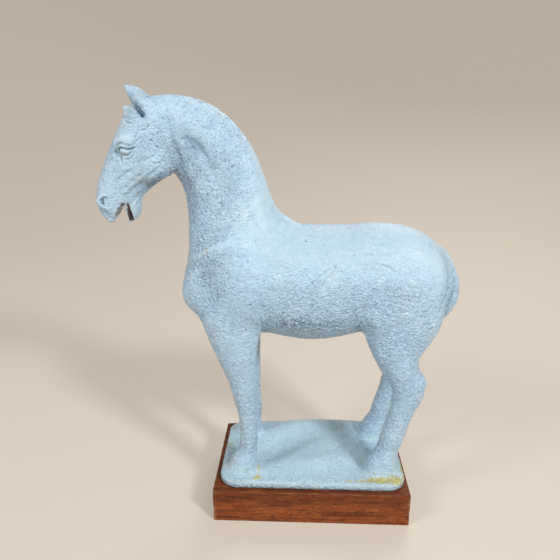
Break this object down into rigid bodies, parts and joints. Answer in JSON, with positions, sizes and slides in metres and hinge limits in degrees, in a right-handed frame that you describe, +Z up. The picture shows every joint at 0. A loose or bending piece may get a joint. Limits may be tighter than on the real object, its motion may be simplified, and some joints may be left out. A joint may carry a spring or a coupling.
{
  "type": "horse sculpture",
  "caption": "Standing horse sculpture with an arched neck and open mouth, cast with its patch of ground in pale blue and set on a brown wooden block.",
  "frame": {"origin": "centre of the wooden block's underside", "axes": "+Z up, the horse faces -X and its left side faces -Y"},
  "size_m": [0.4472, 0.16, 0.533],
  "materials": {
    "wood_plinth": "dark brown oiled hardwood with open pores and worn edges",
    "horse": "pale blue satin paint over a cast surface brushed into short wrinkles"
  },
  "bodies": {
    "root": {"wood_plinth": "wood_plinth", "horse": "horse"}
  },
  "joints": []
}
